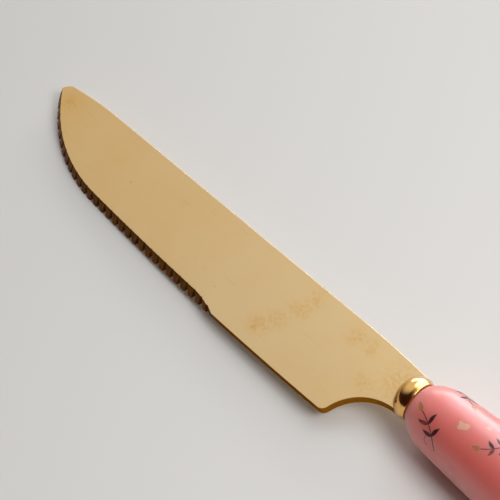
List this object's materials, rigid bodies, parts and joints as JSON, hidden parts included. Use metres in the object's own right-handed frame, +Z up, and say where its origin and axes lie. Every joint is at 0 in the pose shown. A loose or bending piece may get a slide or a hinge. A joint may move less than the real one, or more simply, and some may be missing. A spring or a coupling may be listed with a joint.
{
  "type": "serving knife",
  "caption": "Serving knife with a gold coloured, toothed stainless blade, a polished ferrule bead and a stout glazed porcelain handle",
  "frame": {"origin": "middle of the knife's footprint, on the surface that it lies on", "axes": "+X runs along the knife to the butt of the handle, so the tip is at -X; the cutting edge faces -Y; +Z is up, out of the blade's ground side"},
  "size_m": [0.2616, 0.0284, 0.0204],
  "materials": {
    "gold_steel": "satin stainless steel with a thin gold coloured vapour coating",
    "polished_gold": "polished brass with gold plating",
    "pink_porcelain": "glossy pink glaze over white porcelain, with a scattered plant print",
    "resin": "cast filled resin"
  },
  "bodies": {
    "root": {"blade": "gold_steel", "ferrule": "polished_gold", "handle": "pink_porcelain", "filling": "resin"}
  },
  "joints": []
}
